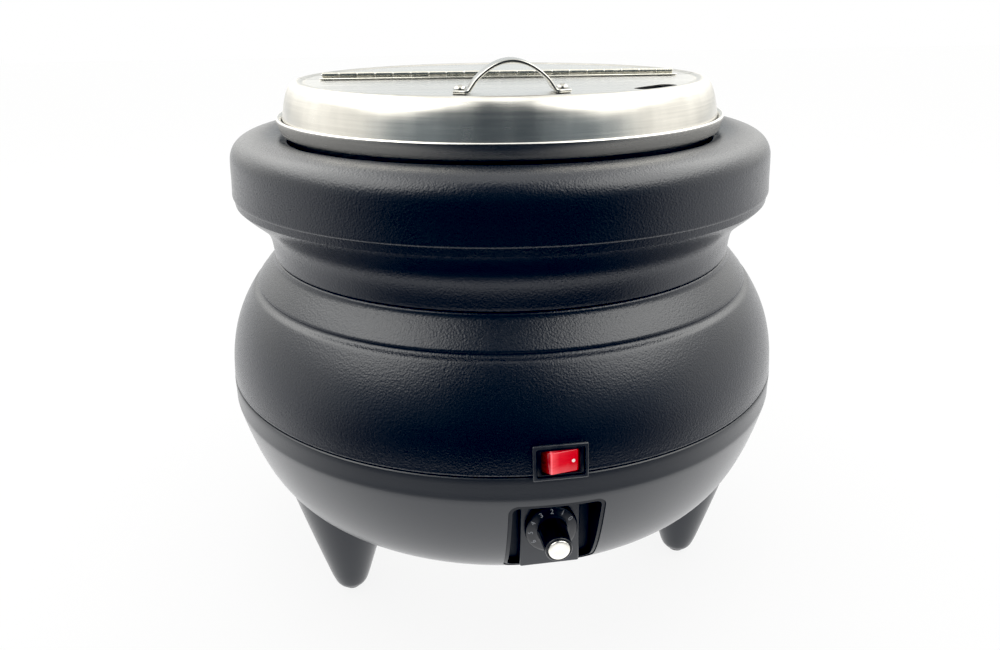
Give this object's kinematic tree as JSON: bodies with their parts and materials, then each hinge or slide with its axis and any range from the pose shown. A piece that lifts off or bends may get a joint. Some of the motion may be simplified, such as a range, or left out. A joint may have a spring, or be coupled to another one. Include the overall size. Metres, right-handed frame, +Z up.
{
  "type": "soup kettle",
  "caption": "Round electric soup kettle on cone feet, with a lift-out pot, a lid whose front half is hinged, a heat dial and a lit rocker switch.",
  "frame": {"origin": "on the table under the kettle's vertical axis, at the bottom of the foot pads", "axes": "+Z up, the dial and switch face -Y, +X to the right seen from the front"},
  "size_m": [0.3374, 0.3419, 0.3137],
  "materials": {
    "body_black": "fine leather-grain texture, satin",
    "base_black": "smooth satin moulding",
    "stainless": "brushed round the sides, bright edges",
    "aluminium": "spun disc",
    "black_plastic": "moulded, low gloss",
    "red_lens": "clear red, lit from behind",
    "rubber": "matt",
    "wool": "mineral wool blanket",
    "steel": "zinc plated",
    "brass": "plain",
    "ceramic": "glazed white"
  },
  "bodies": {
    "kettle_body": {"belly_shell": "body_black", "collar_shell": "body_black", "base_bowl": "base_black", "control_recess": "base_black", "control_boss": "base_black", "leg_left": "base_black", "leg_right": "base_black", "leg_rear": "base_black", "dial_index": "black_plastic", "switch_surround": "black_plastic", "switch_housing": "black_plastic", "cord_gland": "black_plastic", "plug_body": "black_plastic", "thermostat_body": "black_plastic", "foot_pad_left": "rubber", "foot_pad_right": "rubber", "foot_pad_rear": "rubber", "tank_gasket": "rubber", "power_cord": "rubber", "water_tank": "stainless", "leg_screw_left": "steel", "leg_screw_right": "steel", "leg_screw_rear": "steel", "bottom_cover": "steel", "cover_screw_a": "steel", "cover_screw_b": "steel", "cover_screw_c": "steel", "heating_element": "steel", "clamp_stud": "steel", "clamp_nut": "steel", "element_clamp_plate": "aluminium", "insulation_blanket": "wool", "thermal_cutout": "ceramic", "terminal_block": "ceramic", "thermostat_nut": "brass", "sensor_bulb": "brass", "sensor_capillary": "brass", "plug_pin_a": "brass", "plug_pin_b": "brass"},
    "rocker": {"switch_rocker": "red_lens"},
    "knob": {"knob": "black_plastic", "knob_cap": "aluminium", "knob_spindle": "steel"},
    "pot": {"insert_pot": "stainless"},
    "lid": {"lid_rear": "stainless", "hinge_leaf_rear": "stainless", "hinge_pin": "steel"},
    "flap": {"lid_flap": "stainless", "hinge_leaf_flap": "stainless", "lid_handle": "stainless", "handle_rivet_left": "stainless", "handle_rivet_right": "stainless"}
  },
  "joints": [
    {"name": "rocker_tilt", "type": "hinge", "parent": "kettle_body", "child": "rocker", "pos_m": [0, -0.16323, 0.14101], "axis": [0, -0.1219, -0.9925], "range_deg": [0, 20]},
    {"name": "dial_turn", "type": "hinge", "parent": "kettle_body", "child": "knob", "pos_m": [0, -0.15, 0.093], "axis": [0, -1, 0], "range_deg": [-90, 180]},
    {"name": "pot_lift", "type": "slide", "parent": "kettle_body", "child": "pot", "axis": [0, 0, 1], "range_m": [0, 0.25]},
    {"name": "lid_lift", "type": "slide", "parent": "pot", "child": "lid", "axis": [0, 0, 1], "range_m": [0, 0.12]},
    {"name": "flap_hinge", "type": "hinge", "parent": "lid", "child": "flap", "pos_m": [0, 0, 0.3004], "axis": [-0.9952, 0.0976, 0], "range_deg": [0, 165]}
  ]
}
